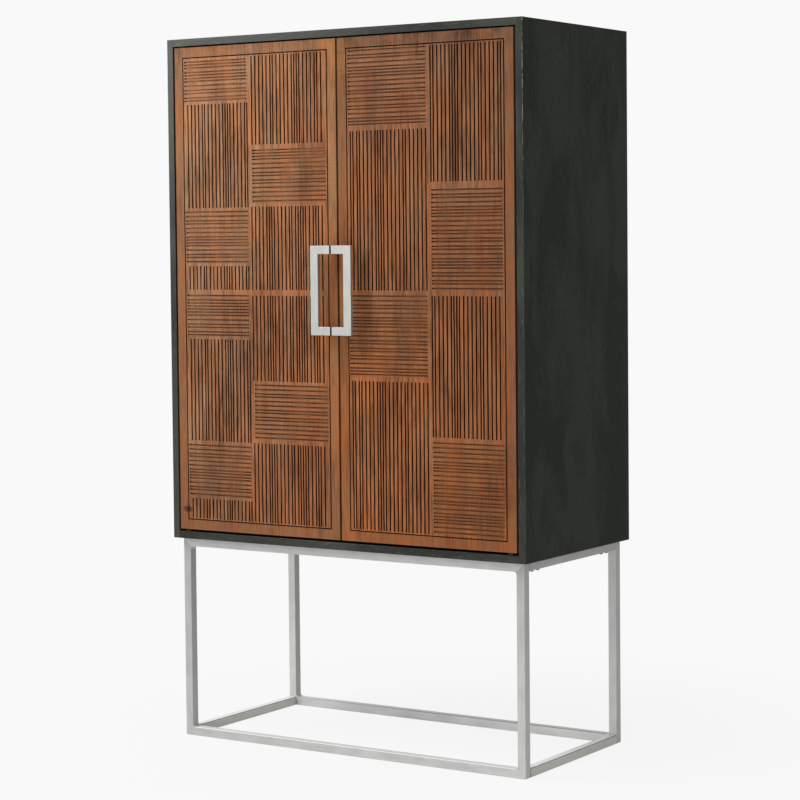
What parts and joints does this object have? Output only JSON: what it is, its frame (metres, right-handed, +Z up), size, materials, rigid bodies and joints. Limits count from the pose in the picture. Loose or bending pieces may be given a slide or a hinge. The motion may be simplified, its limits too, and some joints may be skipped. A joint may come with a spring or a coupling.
{
  "type": "bar armoire",
  "caption": "Tall two-door bar cabinet with grooved basket-weave doors, bottle rests and glass rails inside, on an open base of square steel tube.",
  "frame": {"origin": "on the floor, below the middle of the whole piece with its pulls", "axes": "+Z up, the doors face -Y, +X towards the right-hand door seen from the front"},
  "size_m": [1.016, 0.542, 1.74],
  "materials": {
    "stained_wood": "charcoal-stained wood with fine vertical grain, satin",
    "interior_wood": "dark stained veneer, matt",
    "carved_wood": "warm brown solid wood, grooved by a cutter, satin oil",
    "rack_wood": "warm brown solid wood, satin oil",
    "brushed_nickel": "brushed satin nickel",
    "base_steel": "square steel tube, satin silver",
    "bright_steel": "bright zinc-plated steel",
    "dark_steel": "dark plated bolts",
    "bearing_brass": "plain brass",
    "catch_body": "dark brown moulded plastic"
  },
  "bodies": {
    "cabinet": {"case_left_side": "stained_wood", "case_right_side": "stained_wood", "case_bottom_panel": "stained_wood", "case_top_panel": "stained_wood", "case_back_panel": "interior_wood", "middle_shelf": "interior_wood", "lower_divider": "interior_wood", "lower_right_shelf": "interior_wood", "adjustable_shelf": "interior_wood", "magnetic_catch": "catch_body", "base_front_frame": "base_steel", "base_rear_frame": "base_steel", "base_upper_left_rail": "base_steel", "upper_pivot_pin_left": "bearing_brass", "base_lower_left_rail": "base_steel", "lower_pivot_pin_left": "bearing_brass", "thrust_washer_left": "bearing_brass", "rail_bolt_front_left": "dark_steel", "case_bolt_front_left": "dark_steel", "shelf_pin_front_left": "bright_steel", "rail_bolt_rear_left": "dark_steel", "case_bolt_rear_left": "dark_steel", "shelf_pin_rear_left": "bright_steel", "base_upper_right_rail": "base_steel", "upper_pivot_pin_right": "bearing_brass", "base_lower_right_rail": "base_steel", "lower_pivot_pin_right": "bearing_brass", "thrust_washer_right": "bearing_brass", "rail_bolt_front_right": "dark_steel", "case_bolt_front_right": "dark_steel", "shelf_pin_front_right": "bright_steel", "rail_bolt_rear_right": "dark_steel", "case_bolt_rear_right": "dark_steel", "shelf_pin_rear_right": "bright_steel", "bottle_rail_front_1": "rack_wood", "bottle_rail_rear_1": "rack_wood", "bottle_rail_front_2": "rack_wood", "bottle_rail_rear_2": "rack_wood", "bottle_rail_front_3": "rack_wood", "bottle_rail_rear_3": "rack_wood", "glass_rail_1": "rack_wood", "glass_rail_2": "rack_wood", "glass_rail_3": "rack_wood", "glass_rail_4": "rack_wood"},
    "left_door": {"left_door_panel": "carved_wood", "left_pull": "brushed_nickel", "pull_screw_lower_left": "bright_steel", "pull_screw_upper_left": "bright_steel", "lower_pivot_bush_left": "bearing_brass", "upper_pivot_bush_left": "bearing_brass", "catch_strike_left": "bright_steel"},
    "right_door": {"right_door_panel": "carved_wood", "right_pull": "brushed_nickel", "pull_screw_lower_right": "bright_steel", "pull_screw_upper_right": "bright_steel", "lower_pivot_bush_right": "bearing_brass", "upper_pivot_bush_right": "bearing_brass", "catch_strike_right": "bright_steel"}
  },
  "joints": [
    {"name": "left_door_hinge", "type": "hinge", "parent": "cabinet", "child": "left_door", "pos_m": [-0.466, -0.226, 0.523], "axis": [0, 0, -1], "range_deg": [0, 110]},
    {"name": "right_door_hinge", "type": "hinge", "parent": "cabinet", "child": "right_door", "pos_m": [0.466, -0.226, 0.523], "axis": [0, 0, 1], "range_deg": [0, 110]}
  ]
}
